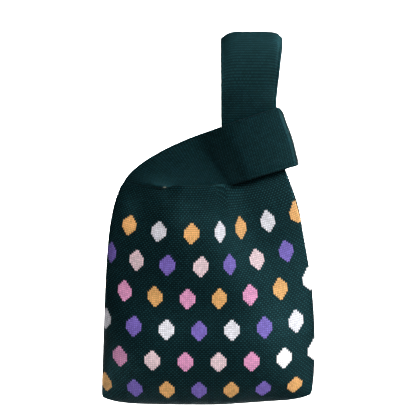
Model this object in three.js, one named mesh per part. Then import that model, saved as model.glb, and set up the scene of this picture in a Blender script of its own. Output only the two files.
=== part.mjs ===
// Knitted knot bag: two jacquard panels linked at the sides and the bottom, a long wrist handle
// on the right shoulder, and a short loop on the left shoulder that wraps round the handle and
// draws the mouth shut. Millimetres, +Z up, front towards -Y. The bag is laid out from its own
// bottom middle, then placed so that the origin is under the top of the handle, where a hand holds it.
import * as THREE from "three";

const { clamp, inverseLerp, lerp, smoothstep } = THREE.MathUtils;

// Cloth and linked seams
const KNIT = 3; // thickness of the double-knit cloth
const LINK_GAP = 0.3; // clearance between two edges that are linked together
const SEAM_HALF = 1.8; // half the space between the two panel edges, which the seam fills
const SEAM_WIDTH = 2.4; // width of a linked seam across the cloth edge

// Bag body
const BAG_WIDTH = 220; // across the bottom, outside
const NECK_HEIGHT = 223; // bottom to the left end of the neckline
const SHOULDER_HEIGHT = 228; // bottom to the top of the left side seam
const LEFT_TAPER = 21; // how far the left side comes in at its top
const LEFT_LEAN = 7; // the part of that taken up by an even lean
const LEFT_POWER = 7; // a higher power keeps the rest of it nearer the top
const RIGHT_POWER = 2.7; // the same for the right side
const RIGHT_BULGE = 3.7; // how far the right side swells out below its middle
const CORNER_RISE = 6; // how far the bottom corners are rounded off
const CORNER_POWER = 8; // a higher power makes a tighter corner
const BOTTOM_SAG = 2; // how far the middle of the bottom hangs below its ends
const BOTTOM_TILT = 3; // how much higher the right half of the bottom hangs
const BELLY = 23; // half depth of the filled body
const BOTTOM_ROUND = 0.26; // share of the height over which the bottom rounds in
const BELLY_TOP = 0.5; // share of the height where the body starts to narrow to the mouth
const FLANK_TOP = 0.26; // the same on the right, where the handle draws the cloth flat sooner
const FLANK_TO = 0.9; // share of the half width over which the body turns to that flank
const CREST_LOW = 0.26; // share of the half width where the body stands out most, at the bottom
const CREST_SHIFT = 0.56; // how far that crest has moved to the left at the neckline
const CREST_BEND = 1.25; // a higher power keeps the crest to the right for longer
const CREST_SOFT = 0.3; // roundness of the crest
const FALL = 0.8; // share of the depth lost in an even slope from the crest to a side
const FALL_POWER = 1.4; // a higher power rounds that slope
const SIDE_SHARP = 12; // tightness of the side below such a slope
const SIDE_POWER = 4; // the same where the body stays full up to its side
const SLACK = 0.15; // share of the depth that the left half loses above its belly
const SAG = 6; // how far the slack of the cloth bulges out above the bottom
const SAG_HEIGHT = 54; // bottom to the middle of that bulge
const SAG_SPAN = 34; // half its height
const POUCH = 2; // how far the cloth falls forward under the neckline
const POUCH_DROP = 51; // neckline to the middle of that pouch
const DRAG = 3; // how far the left shoulder drags the cloth out beside the neckline and in again
const DRAG_SPAN = 16; // half the width of that ridge, and of the hollow beside it
const BOW_LEFT = 19; // how far the rows of the knit bow up towards the left shoulder
const BOW_RIGHT = 5.6; // the same towards the right shoulder
const NECK_DEPTH = 5.6; // half depth of the mouth at the neckline
const NECK_INSET = 64; // left side of the bag to the left end of the neckline
const NECK_CLIMB = 20.5; // width of the neckline's climb to the handle
const NECK_SLIT = 1.4; // gap under the loop's lower edge, along the neckline

// Long handle
const HANDLE_INSET = 32.5; // right side of the bag to the handle's right edge
const STRAP_WIDTH = 62;
const STRAP_PINCH = 6; // width that the loop squeezes out of the handle
const STRAP_GAP = 4; // half the distance between the handle's two layers inside the loop
const JOINT_LIFT = 12; // neckline to the lowest point of the handle's foot
const JOINT_RISE = 16; // depth of the round foot that turns in the shoulder
const HANDLE_LENGTH = 151; // lowest point of the foot to the top of the handle
const HAND_GAP = 15; // half the distance between the layers where a hand goes through
const HOLD_FLAT = 10; // length of the flat stretch over the hand
const TOP_ROUND = 18; // height over which the handle rounds over the hand
const TOP_DROOP = 8; // how far the handle's edges droop beside the hand
const DROOP_POWER = 5.5; // a higher power keeps the droop nearer the edges
const HANDLE_SEAM_DROP = 26; // top of the handle to the seam on its back

// Short loop
const LOOP_WIDTH = 61;
const LOOP_FLARE = 3; // how much wider the loop is at its bend
const LOOP_ANGLE = THREE.MathUtils.degToRad(16.5); // climb of the loop towards the right
const LOOP_LIFT = 1; // neckline to the loop's lower edge beside the handle
const LOOP_INSET = 5; // left edge of the handle to the loop's split line
const LOOP_CLEAR = 3.7; // right edge of the handle to the start of the loop's bend
const LOOP_EASE = 6; // slack between the loop and the handle inside it
const LOOP_FREE = 12; // height above the loop before the handle's layers part
const LOOP_SPREAD = 4; // how much further the bend reaches at its top
const LOOP_DRAW = 4; // how far the bend is then drawn in towards its top
const LOOP_CORNER = 8; // how far the bend's upper corner is rounded off
const LOOP_SEAM_BACK = 14; // end of the bend to the seam on the back of the loop
const SHOULDER_PULL = 80; // fullness of the loop's outline where it leaves the shoulder
const LOOP_PULL = 80; // fullness of the loop's outline where it meets the wrap
const NECK_PULL = 60; // fullness of the loop's lower edge

// Bar tacks at the ends of the neckline
const TACK_LENGTH = 8;
const TACK_WIDTH = 2.4;
const TACK_THICK = 1.2;

// Mesh steps
const PANEL_COLUMNS = 32;
const PANEL_ROWS = 22;
const BOTTOM_ROWS = 7;
const SHOULDER_COLUMNS = 11; // columns of the panel under the left shoulder
const NECK_COLUMNS = 5; // columns under the neckline
const RISE_COLUMNS = 3; // columns under the climb from the neckline to the handle
const STRAP_COLUMNS = 7; // an odd number leaves one flat cell in the middle of the handle
const ARM_ROWS = 14;
const SEAM_STEPS = 22;
const TINY = 1e-4; // step for surface normals

// Sizes that follow from the ones above
const halfBag = BAG_WIDTH / 2 - KNIT / 2; // to the middle of the cloth
const halfStrap = STRAP_WIDTH / 2;
const handleX = BAG_WIDTH / 2 - HANDLE_INSET - halfStrap; // middle of the handle
const neckX = -BAG_WIDTH / 2 + NECK_INSET;
const jointRadius = (halfStrap ** 2 + JOINT_RISE ** 2) / (2 * JOINT_RISE);
const footZ = NECK_HEIGHT + JOINT_LIFT;
const pivotZ = footZ + jointRadius; // the handle's foot turns about this height
const hornZ = footZ + JOINT_RISE;
const handleTop = footZ + HANDLE_LENGTH - KNIT / 2;
const loopGap = STRAP_GAP + KNIT + LOOP_EASE; // half the distance between the loop's two layers
const along = new THREE.Vector2(Math.cos(LOOP_ANGLE), Math.sin(LOOP_ANGLE));
const across = new THREE.Vector2(-along.y, along.x);
const splitLow = new THREE.Vector2(handleX - halfStrap + LOOP_INSET, NECK_HEIGHT + LOOP_LIFT);
const splitHigh = splitLow.clone().addScaledVector(across, LOOP_WIDTH);
const bendX = handleX + halfStrap + KNIT / 2 + LOOP_CLEAR;
const loopReach = (bendX - splitLow.x) / along.x; // split line to the start of the bend
const loopTop = splitHigh.y + loopReach * along.y + LOOP_FLARE * across.y;
const shoulder = new THREE.Vector2(-halfBag + LEFT_TAPER, SHOULDER_HEIGHT);
const neckLeft = new THREE.Vector2(neckX, NECK_HEIGHT);

// A solid from a sheet: point(u, v) is the middle of the cloth, normal(u, v) its direction.
// Both run over 0 to 1, and the sheet is thickened by half the cloth to each side.
function cloth(columns, rows, point, normal) {
  const front = [];
  const back = [];
  for (let j = 0; j <= rows; j++) {
    for (let i = 0; i <= columns; i++) {
      const p = point(i / columns, j / rows);
      const n = normal(i / columns, j / rows);
      front.push(p.clone().addScaledVector(n, KNIT / 2));
      back.push(p.clone().addScaledVector(n, -KNIT / 2));
    }
  }
  const at = (i, j) => j * (columns + 1) + i;
  const count = front.length;
  const faces = [];
  const quad = (a, b, c, d) => faces.push(a, b, c, a, c, d);
  for (let j = 0; j < rows; j++) {
    for (let i = 0; i < columns; i++) {
      const corners = [at(i, j), at(i + 1, j), at(i + 1, j + 1), at(i, j + 1)];
      quad(...corners);
      quad(...corners.reverse().map((k) => k + count));
    }
  }
  const rim = [];
  for (let i = 0; i < columns; i++) rim.push(at(i, 0));
  for (let j = 0; j < rows; j++) rim.push(at(columns, j));
  for (let i = columns; i > 0; i--) rim.push(at(i, rows));
  for (let j = rows; j > 0; j--) rim.push(at(0, j));
  rim.forEach((a, k) => {
    const b = rim[(k + 1) % rim.length];
    quad(b, a, a + count, b + count);
  });
  return closed([...front, ...back], faces);
}

// A bar of four-sided section: ring(v) gives the four corners of the section at v.
function bar(steps, ring) {
  const points = [];
  const faces = [];
  const quad = (a, b, c, d) => faces.push(a, b, c, a, c, d);
  for (let j = 0; j <= steps; j++) points.push(...ring(j / steps));
  for (let j = 0; j < steps; j++) {
    for (let k = 0; k < 4; k++) {
      const next = (k + 1) % 4;
      quad(4 * j + k, 4 * j + next, 4 * j + 4 + next, 4 * j + 4 + k);
    }
  }
  quad(3, 2, 1, 0);
  quad(4 * steps, 4 * steps + 1, 4 * steps + 2, 4 * steps + 3);
  return closed(points, faces);
}

// An indexed geometry whose faces point outwards, whichever way they were listed.
function closed(points, faces) {
  let volume = 0;
  for (let k = 0; k < faces.length; k += 3) {
    const [a, b, c] = [points[faces[k]], points[faces[k + 1]], points[faces[k + 2]]];
    volume += a.dot(b.clone().cross(c));
  }
  const index = volume < 0 ? faces.slice().reverse() : faces;
  const geometry = new THREE.BufferGeometry().setFromPoints(points);
  geometry.setIndex(index);
  geometry.computeVertexNormals();
  return geometry;
}

// The direction square to a sheet at (u, v), measured on short steps that stay inside it.
function squareTo(point) {
  return (u, v) => {
    const u0 = Math.max(u - TINY, 0);
    const u1 = Math.min(u + TINY, 1);
    const v0 = Math.max(v - TINY, 0);
    const v1 = Math.min(v + TINY, 1);
    const du = point(u1, v).sub(point(u0, v));
    const dv = point(u, v1).sub(point(u, v0));
    return du.cross(dv).normalize();
  };
}

// A cubic curve between two points with the given end directions and pulls.
function drawn(start, startWay, startPull, end, endWay, endPull) {
  return new THREE.CubicBezierCurve(
    start,
    start.clone().addScaledVector(startWay, startPull / 3),
    end.clone().addScaledVector(endWay, -endPull / 3),
    end,
  );
}

// The short loop's outline between the left shoulder and the wrap.
const shoulderLean = LEFT_LEAN + (LEFT_TAPER - LEFT_LEAN) * LEFT_POWER; // of the left side at its top
const shoulderWay = new THREE.Vector2(shoulderLean, SHOULDER_HEIGHT).normalize();
const loopUpper = drawn(shoulder, shoulderWay, SHOULDER_PULL, splitHigh, along, LOOP_PULL);
const loopLower = drawn(neckLeft, new THREE.Vector2(1, 0), NECK_PULL, splitLow, along, NECK_PULL);

// The panel's outline, as four edges over 0 to 1.
const neckFrom = SHOULDER_COLUMNS / PANEL_COLUMNS;
const riseFrom = (SHOULDER_COLUMNS + NECK_COLUMNS) / PANEL_COLUMNS;
const footFrom = (SHOULDER_COLUMNS + NECK_COLUMNS + RISE_COLUMNS) / PANEL_COLUMNS;
const sideways = (u) => Math.sin((Math.PI / 2) * (2 * u - 1)); // -1 at the left edge, 1 at the right
const footRadius = jointRadius + 2 * LINK_GAP;
const horn = footPoint(-halfStrap, footRadius);
const heel = footPoint(halfStrap, footRadius);
const slit = new THREE.Vector2(0, -NECK_SLIT);
// The share of the loop's lower edge that lies above the neckline.
const neckEnd = (handleX - halfStrap - NECK_CLIMB - neckX) / (splitLow.x - neckX);
const neckRight = loopLower.getPoint(neckEnd).add(slit);
const neckRise = drawn(
  neckRight,
  new THREE.Vector2(1, 0),
  horn.x - neckRight.x,
  horn,
  new THREE.Vector2(0, 1),
  horn.y - neckRight.y,
);

// A point of the round foot, at x from the middle of the handle.
function footPoint(x, radius) {
  return new THREE.Vector2(handleX + x, pivotZ - Math.sqrt(radius ** 2 - x ** 2));
}

function bottomEdge(u) {
  const s = sideways(u);
  const corner = CORNER_RISE * Math.abs(s) ** CORNER_POWER + BOTTOM_TILT * smoothstep(s, 0, 0.7);
  return new THREE.Vector2(s * halfBag, corner - BOTTOM_SAG * (1 - s * s));
}

function leftEdge(v) {
  const taper = LEFT_LEAN * v + (LEFT_TAPER - LEFT_LEAN) * v ** LEFT_POWER;
  return new THREE.Vector2(-halfBag + taper, lerp(bottomEdge(0).y, shoulder.y - LINK_GAP, v));
}

function rightEdge(v) {
  const taper = (halfBag - heel.x) * v ** RIGHT_POWER;
  const bulge = RIGHT_BULGE * 6.75 * v * (1 - v) ** 2; // 6.75 brings its peak to 1
  return new THREE.Vector2(halfBag - taper + bulge, lerp(bottomEdge(1).y, heel.y, v));
}

function topEdge(u) {
  if (u <= neckFrom) return leftEdge(1).lerp(neckStart(), u / neckFrom);
  if (u <= riseFrom) return loopLower.getPoint((neckEnd * (u - neckFrom)) / (riseFrom - neckFrom)).add(slit);
  if (u <= footFrom) return neckRise.getPoint((u - riseFrom) / (footFrom - riseFrom));
  return footPoint(lerp(-halfStrap, halfStrap, (u - footFrom) / (1 - footFrom)), footRadius);
}

function neckStart() {
  return neckLeft.clone().add(slit);
}

const hump = (x, middle, span) => Math.exp(-(((x - middle) / span) ** 2));

// Half depth of the body at s across and t up. It is closed at the sides and bottom, stands out most
// along a slanting crest and falls from there in an even slope, or stays full up to its side.
function panelDepth(s, t) {
  const crest = CREST_LOW - CREST_SHIFT * t ** CREST_BEND;
  const reach = s < crest ? (crest - s) / (1 + crest) : (s - crest) / (1 - crest);
  const from = (Math.hypot(reach, CREST_SOFT) - CREST_SOFT) / (Math.hypot(1, CREST_SOFT) - CREST_SOFT);
  const neck = smoothstep(t, 0.65, 1);
  const left = lerp(1 - smoothstep(t, 0.3, 0.55), 1, neck);
  const full = lerp(left, neck, smoothstep(s, crest - CREST_SOFT, crest + CREST_SOFT));
  const slope = 1 - FALL * (1 - full) * from ** FALL_POWER;
  const section = slope * Math.sqrt(Math.max(0, 1 - from ** lerp(SIDE_SHARP, SIDE_POWER, full)));
  const floor = 1 - Math.min(t / BOTTOM_ROUND, 1);
  const fill = Math.sqrt(Math.max(0, 1 - floor * floor));
  const mouth = lerp(NECK_DEPTH, STRAP_GAP - SEAM_HALF, smoothstep(s, sideways(neckFrom), sideways(footFrom)));
  const flank = smoothstep(s, 0, FLANK_TO);
  const belly = BELLY * (1 - SLACK * smoothstep(t, 0.25, 0.5) * (1 - flank));
  const top = lerp(BELLY_TOP, FLANK_TOP, flank);
  return SEAM_HALF + section * fill * lerp(belly, mouth, smoothstep(t, top, 1));
}

// The main folds of the hanging cloth, at x across and z up. They fade out towards the panel's edges.
function bodyFolds(x, z) {
  const pouchZ = NECK_HEIGHT - POUCH_DROP;
  const crest = 2 + 0.37 * (pouchZ - z);
  const below = 1 - smoothstep(z, pouchZ + 24, pouchZ + 48);
  const pouch = hump(x, crest, 48) * hump(z, pouchZ, 42) * below;
  const drag = hump(x, neckX + 6, DRAG_SPAN) - hump(x, neckX - 26, DRAG_SPAN);
  const dragged = smoothstep(z, NECK_HEIGHT - 65, NECK_HEIGHT - 15);
  return POUCH * pouch + DRAG * drag * dragged + SAG * hump(z, SAG_HEIGHT, SAG_SPAN);
}

// Rows lie closer together where the bottom rounds in.
function rowHeight(v) {
  const turn = BOTTOM_ROWS / PANEL_ROWS;
  if (v < turn) return BOTTOM_ROUND * (1 - Math.cos((Math.PI / 2) * (v / turn)));
  return lerp(BOTTOM_ROUND, 1, (v - turn) / (1 - turn));
}

// The height of a row at s across, from low at the bottom. The straps lift the two shoulders, so the rows
// bow as the courses of the knit do; the topmost ones even out to the neckline.
function rowZ(s, t, low) {
  const middle = neckLeft.y + LOOP_LIFT;
  const [toLeft, toRight] = [(s * s - s) / 2, (s * s + s) / 2];
  const level = middle + (leftEdge(1).y - middle) * toLeft + (heel.y - middle) * toRight;
  const bow = (BOW_LEFT * toLeft + BOW_RIGHT * toRight) * (1 - t ** 5);
  return { level, z: lerp(low, level + bow, t) };
}

// The share of a side's height that a row reaches there.
function sideShare(edge, s, t) {
  const [low, high] = [edge(0).y, edge(1).y];
  return clamp(inverseLerp(low, high, rowZ(s, t, low).z), 0, 1);
}

function panelOutline(u, t) {
  const s = sideways(u);
  const top = topEdge(u);
  const { level, z } = rowZ(s, t, bottomEdge(u).y);
  const [left, right] = [leftEdge(sideShare(leftEdge, -1, t)), rightEdge(sideShare(rightEdge, 1, t))];
  const settle = t ** 14; // only the last rows bend to the cut of the neckline
  const x = lerp(left.x, right.x, (s + 1) / 2) + settle * (top.x - lerp(shoulder.x, heel.x, (s + 1) / 2));
  return new THREE.Vector2(x, z + settle * (top.y - level));
}

function panelPoint(u, v) {
  const t = rowHeight(v);
  const p = panelOutline(u, t);
  const s = sideways(u);
  const loose = Math.sqrt(1 - s ** 4) * smoothstep(t, 0, 0.1) * (1 - smoothstep(t, 0.9, 1));
  return new THREE.Vector3(p.x, -panelDepth(s, t) - loose * bodyFolds(p.x, p.y), p.y);
}

// Along its linked edges the cloth turns square to the seam.
function panelNormal(u, v) {
  const side = u === 0 ? -1 : u === 1 ? 1 : 0;
  const out = new THREE.Vector3();
  const edge = side < 0 ? leftEdge : rightEdge;
  if (side) out.add(edgeNormal(edge, sideShare(edge, side, rowHeight(v)), side));
  if (v === 0) out.add(edgeNormal(bottomEdge, u, 1));
  if (out.lengthSq()) return out.normalize();
  return squareTo(panelPoint)(u, v);
}

// The outward direction of an outline edge, in the plane of the bag.
function edgeNormal(edge, k, turn) {
  const step = edge(Math.min(k + TINY, 1)).sub(edge(Math.max(k - TINY, 0)));
  return new THREE.Vector3(turn * step.y, 0, -turn * step.x).normalize();
}

function panel() {
  return cloth(PANEL_COLUMNS, PANEL_ROWS, panelPoint, panelNormal);
}

// A seam between the two panels, along one edge of the outline.
function seam(edge, turn) {
  const depth = SEAM_HALF - LINK_GAP;
  const trim = LINK_GAP + KNIT;
  return bar(SEAM_STEPS, (v) => {
    const length = edge(1).distanceTo(edge(0));
    const k = lerp(trim / length, 1 - trim / length, v);
    const middle = edge(k);
    const out = edgeNormal(edge, k, turn).multiplyScalar(SEAM_WIDTH / 2);
    return [
      [-1, -1],
      [1, -1],
      [1, 1],
      [-1, 1],
    ].map(([o, d]) => new THREE.Vector3(middle.x + o * out.x, d * depth, middle.y + o * out.z));
  });
}

// One arm of the short loop, from the shoulder to the wrap. It leaves the panel at the panel's own
// depth and swings out to the loop's.
function armPoint(u, v) {
  const low = loopLower.getPoint(v);
  const high = loopUpper.getPoint(v);
  const start = panelDepth(sideways(neckFrom * (1 - u)), 1);
  const depth = lerp(start, loopGap, Math.sin((Math.PI / 2) * v));
  const p = low.lerp(high, u);
  return new THREE.Vector3(p.x, -depth, p.y);
}

function arm() {
  const short = LINK_GAP / loopUpper.getLength();
  const point = (u, v) => armPoint(u, lerp(short, 1 - short, v));
  return cloth(STRAP_COLUMNS, ARM_ROWS, point, squareTo(point));
}

// The loop round the handle: along the front, round a bend, and along the back. Lengths run from
// the split line on the front.
const bendLength = Math.PI * loopGap;
const loopSeamAt = loopReach + bendLength + LOOP_SEAM_BACK;
const loopEnd = 2 * loopReach + bendLength;

function wrapPoint(u, length) {
  const turn = clamp((length - loopReach) / loopGap, 0, Math.PI);
  const back = Math.max(0, length - loopReach - bendLength);
  const flat = Math.min(length, loopReach) - back;
  const draw = LOOP_DRAW * smoothstep(u, 0.3, 1) * (flat / loopReach) ** 2;
  const reach = flat * (1 + (LOOP_SPREAD * u) / loopReach) - draw + loopGap * Math.sin(turn);
  const width = LOOP_WIDTH + (LOOP_FLARE * flat) / loopReach;
  const corner = LOOP_CORNER * Math.sin(turn) ** 2 * smoothstep(u, 0.5, 1) ** 2;
  const p = splitLow.clone().addScaledVector(along, reach).addScaledVector(across, u * width - corner);
  return new THREE.Vector3(p.x, -loopGap * Math.cos(turn), p.y);
}

function wrap(from, to, rows) {
  const point = (u, v) => wrapPoint(u, lerp(from, to, v));
  return cloth(STRAP_COLUMNS, rows, point, squareTo(point));
}

// A seam across a strap: the strap's own thickness, between two lengths along it.
function crossSeam(point, from, to) {
  const sheet = (u, v) => point(u, lerp(from, to, v));
  return cloth(STRAP_COLUMNS, 1, sheet, squareTo(sheet));
}

// The handle's side profile, by length from the middle of its foot: up the front, over the hand and
// down the back.
const roundZ = handleTop - TOP_ROUND;
const frontLength = roundZ - footZ;
const roundLength = (Math.PI / 2) * Math.hypot(TOP_ROUND, HAND_GAP - HOLD_FLAT / 2) * Math.SQRT1_2;
const overLength = 2 * roundLength + HOLD_FLAT;
const handleLength = 2 * frontLength + overLength;
const handleSeamAt = frontLength + overLength + HANDLE_SEAM_DROP - TOP_ROUND;

function layerGap(z) {
  return lerp(STRAP_GAP, HAND_GAP, smoothstep(z, loopTop + LOOP_FREE, roundZ));
}

function handleProfile(length) {
  const half = handleLength / 2;
  const side = length <= half ? -1 : 1;
  const rise = Math.min(length, handleLength - length);
  if (rise <= frontLength) return { y: side * layerGap(footZ + rise), z: footZ + rise };
  const turn = Math.min((rise - frontLength) / roundLength, 1) * (Math.PI / 2);
  const flat = Math.max(rise - frontLength - roundLength, 0);
  const y = HOLD_FLAT / 2 + (HAND_GAP - HOLD_FLAT / 2) * Math.cos(turn) - flat;
  return { y: side * y, z: roundZ + TOP_ROUND * Math.sin(turn) };
}

function handlePoint(u, length) {
  const { y, z } = handleProfile(length);
  const x = lerp(-halfStrap, halfStrap, u);
  const foot = footPoint(x, jointRadius).y - footZ; // the foot is round, and the strap soon runs straight
  const lift = foot * (1 - smoothstep(z, footZ, pivotZ));
  const middle = 0.5 / STRAP_COLUMNS;
  const beside = Math.max(Math.abs(u - 0.5) - middle, 0) / (0.5 - middle);
  const droop = TOP_DROOP * beside ** DROOP_POWER * smoothstep(z, loopTop, handleTop);
  const above = inverseLerp(loopTop + LOOP_FREE, handleTop - TOP_ROUND / 2, z);
  const squeeze = smoothstep(z, hornZ, loopTop) * (1 - clamp(above, 0, 1));
  return new THREE.Vector3(handleX + x - STRAP_PINCH * squeeze * u, y, z + lift - droop);
}

function handle(from, to, rows) {
  const point = (u, v) => handlePoint(u, lerp(from, to, v));
  return cloth(STRAP_COLUMNS, rows, point, squareTo(point));
}

// A short bar of stitches on the cloth, at (u, v) of a panel.
function tack(u, v) {
  const middle = panelPoint(u, v);
  const out = panelNormal(u, v);
  const side = new THREE.Vector3(1, 0, 0).addScaledVector(out, -out.x).normalize();
  const up = out.clone().cross(side);
  const base = middle.addScaledVector(out, KNIT / 2 + 2 * LINK_GAP);
  return bar(1, (k) =>
    [
      [-1, 0],
      [1, 0],
      [1, 1],
      [-1, 1],
    ].map(([w, h]) =>
      base
        .clone()
        .addScaledVector(side, (k - 0.5) * TACK_LENGTH)
        .addScaledVector(up, (w * TACK_WIDTH) / 2)
        .addScaledVector(out, h * TACK_THICK),
    ),
  );
}

const groundKnit = new THREE.MeshStandardMaterial({ color: 0x123a3c, roughness: 0.95, metalness: 0 });
const linkYarn = new THREE.MeshStandardMaterial({ color: 0x0d2b2d, roughness: 0.95, metalness: 0 });
const tackThread = new THREE.MeshStandardMaterial({ color: 0x8f9a8c, roughness: 0.8, metalness: 0 });

const bag = new THREE.Group();
function piece(name, geometry, material, mirrored = false) {
  const mesh = new THREE.Mesh(geometry, material);
  mesh.name = name;
  if (mirrored) mesh.scale.y = -1;
  bag.add(mesh);
}

// Body
piece("front_panel", panel(), groundKnit);
piece("back_panel", panel(), groundKnit, true);
piece("left_side_seam", seam(leftEdge, -1), linkYarn);
piece("right_side_seam", seam(rightEdge, 1), linkYarn);
piece("bottom_seam", seam(bottomEdge, 1), linkYarn);

// Short loop
piece("short_loop_front_arm", arm(), groundKnit);
piece("short_loop_back_arm", arm(), groundKnit, true);
const halfSeam = SEAM_WIDTH / 2;
piece("short_loop_front", wrap(LINK_GAP, loopSeamAt - halfSeam - LINK_GAP, 20), groundKnit);
piece("short_loop_seam", crossSeam(wrapPoint, loopSeamAt - halfSeam, loopSeamAt + halfSeam), linkYarn);
piece("short_loop_back", wrap(loopSeamAt + halfSeam + LINK_GAP, loopEnd - LINK_GAP, 6), groundKnit);

// Long handle
piece("long_handle_front", handle(0, handleSeamAt - halfSeam - LINK_GAP, 40), groundKnit);
piece("long_handle_seam", crossSeam(handlePoint, handleSeamAt - halfSeam, handleSeamAt + halfSeam), linkYarn);
piece("long_handle_back", handle(handleSeamAt + halfSeam + LINK_GAP, handleLength, 22), groundKnit);

// Bar tacks
const tackRow = 1 - 0.35 / PANEL_ROWS;
const tackRight = footFrom - 1 / PANEL_COLUMNS;
piece("front_left_bar_tack", tack(neckFrom, tackRow), tackThread);
piece("front_right_bar_tack", tack(tackRight, tackRow), tackThread);
piece("back_left_bar_tack", tack(neckFrom, tackRow), tackThread, true);
piece("back_right_bar_tack", tack(tackRight, tackRow), tackThread, true);

// The origin is on the inside of the handle's flat top.
bag.position.set(-handleX, 0, -(handleTop - KNIT / 2));

export default new THREE.Group().add(bag);
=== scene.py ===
import math

import bpy
import numpy as np
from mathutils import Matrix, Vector


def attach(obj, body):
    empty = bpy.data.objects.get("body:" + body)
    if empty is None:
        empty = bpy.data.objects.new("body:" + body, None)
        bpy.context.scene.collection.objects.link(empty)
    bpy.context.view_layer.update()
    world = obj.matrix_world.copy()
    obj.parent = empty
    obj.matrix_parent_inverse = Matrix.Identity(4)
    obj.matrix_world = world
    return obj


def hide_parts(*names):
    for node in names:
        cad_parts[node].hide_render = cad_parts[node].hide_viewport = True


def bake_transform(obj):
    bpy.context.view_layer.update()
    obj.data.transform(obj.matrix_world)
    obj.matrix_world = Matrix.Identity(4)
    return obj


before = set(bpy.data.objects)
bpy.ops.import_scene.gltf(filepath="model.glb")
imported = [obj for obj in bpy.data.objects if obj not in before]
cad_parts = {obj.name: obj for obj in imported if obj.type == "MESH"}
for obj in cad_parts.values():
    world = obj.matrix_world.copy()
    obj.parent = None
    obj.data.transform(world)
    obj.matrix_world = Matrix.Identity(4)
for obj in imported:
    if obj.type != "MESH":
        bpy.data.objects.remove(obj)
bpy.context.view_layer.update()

# Sizes in millimetres, as the bag hangs: x from the middle of the bag, y away from the viewer and
# z up from the bottom. HOLD is the frame's origin, under the top of the handle.
HOLD = np.array([46.5, 0.0, 383.0])
KNIT = 3.0  # thickness of the cloth
SEAM_HALF = 1.8  # half the space between the two panel edges

HALF_BAG = 108.5
SHOULDER = np.array([-87.5, 228.0])  # top of the left side
NECK_LEFT = np.array([-46.0, 223.0])  # left end of the neckline
HEM_LAP, HEM_OUT = 5.0, 3.5  # the neckline's edge stands up in front of the loop's lower edge
LEFT_LEAN, LEFT_CURVE, LEFT_POWER = 7.0, 14.0, 7.0  # how the left side comes in
RIGHT_POWER, RIGHT_BULGE, RIGHT_SHOULDER = 2.7, 3.7, 2.2  # how the right side comes in, and is full
CORNER_RISE, CORNER_POWER = 6.0, 8.0  # the bottom corners turn up
BOTTOM_SAG, BOTTOM_TILT = 2.0, 3.0  # the bottom hangs in the middle and lifts to the right
BELLY, BOTTOM_ROUND = 23.0, 0.26  # depth of half the bag, and the share of its height that rounds in
BELLY_TOP, FLANK_TOP, FLANK_TO = 0.5, 0.26, 0.9  # from here up it gets flatter: middle, right
CREST_LOW, CREST_SHIFT, CREST_BEND = 0.26, 0.56, 1.25  # where a panel stands out most, of its half width
CREST_SOFT = 0.3  # roundness of that crest
FALL, FALL_POWER, SIDE_SHARP, SIDE_POWER = 0.8, 1.4, 12.0, 4.0  # beside the crest: an even slope, or full
# The main folds: the sag above the bottom, the pouch below the neckline, the drag at its left end.
SLACK, SAG, SAG_HEIGHT, SAG_SPAN = 0.15, 6.0, 54.0, 34.0
POUCH, POUCH_DROP, DRAG, DRAG_SPAN = 2.0, 51.0, 3.0, 16.0
NECK_DEPTH = 5.6  # half the opening of the mouth
ROW_TILT, ROW_BOW = 4.8, 27.8  # how the courses lift to the right and to both sides
TOP_TILT, TOP_BOW = 11.5, 15.5  # the same for the topmost course
LOW_DROOP, HIGH_DROOP = 3.5, 6.0  # how the right half hangs, low down and under the shoulder
NECK_FROM, RISE_FROM, FOOT_FROM = 11 / 32, 17.5 / 32, 19 / 32  # shares of a panel's width

HANDLE_X, HALF_STRAP = 46.5, 31.0
STRAP_PINCH, STRAP_GAP = 6.0, 4.0  # in the loop: how far it is drawn in, and half its layers' space
OPEN_GAP, OPEN_BACK = 15.0, 4.5  # above it: half that space, and how much of it goes to the back
OPEN_OVER, BACK_OPENS = 55.0, 4.0  # the layers part over this length; the back one starts this deep
FOOT_Z, FOOT_RISE = 235.0, 16.0  # the handle's round foot
HANDLE_TOP, TOP_ROUND, HOLD_FLAT = 384.5, 56.0, 6.0  # its top, the bend there and the flat it hangs by
TOP_DROOP, TOP_LEVEL = 8.0, 1 / 7  # its edges droop at the top, and this share of the width stays level
LEFT_CORNER, RIGHT_CORNER = 3.6, 7.0  # the higher, the tighter the drooping corner
HANDLE_SEAM_DROP = 26.0  # the seam lies this far below the top, on the back
STRAP_TWIST, STRAP_CURL, STRAP_EASE = 2.4, 0.6, 0.035  # turn, curl of the right edge, share it widens

LOOP_WIDTH, LOOP_FLARE, LOOP_ANGLE = 61.0, 3.0, math.radians(16.5)
LOOP_GAP, LOOP_CLEAR = 13.0, 5.2  # space for the bend past the handle, and beside the handle
LOOP_EDGE, LOOP_BULGE = 9.0, 8.5  # how far the wrap stands out at its fold, and more over the handle
CROWN_X, CROWN_SPAN = 32.0, 64.0  # where it stands out most, and how far that goes
CLIMB_Z, CLIMB_FROM, CLIMB_TO = 226.0, 22.0, 50.0  # at this height it climbs between these two
LEAN_FROM, LEAN_TO = 0.7, 0.4  # how much further to the left for each millimetre higher
LOOP_SPREAD, LOOP_DRAW, LOOP_CORNER = 4.0, 4.0, 8.0  # how the fold fans out, is drawn in and rounded
LOOP_SEAM_BACK, LOOP_FREE = 14.0, 12.0  # its seam, past the fold, and the free length of handle above
ARM_LOW, ARM_HIGH = 6.9, 4.2  # how far the loop's arms stand from the middle, at each edge
ARM_ROLL, ROLL_AT = 2.4, 0.07  # an arm folds over at the shoulder, at this share of its length

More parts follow.
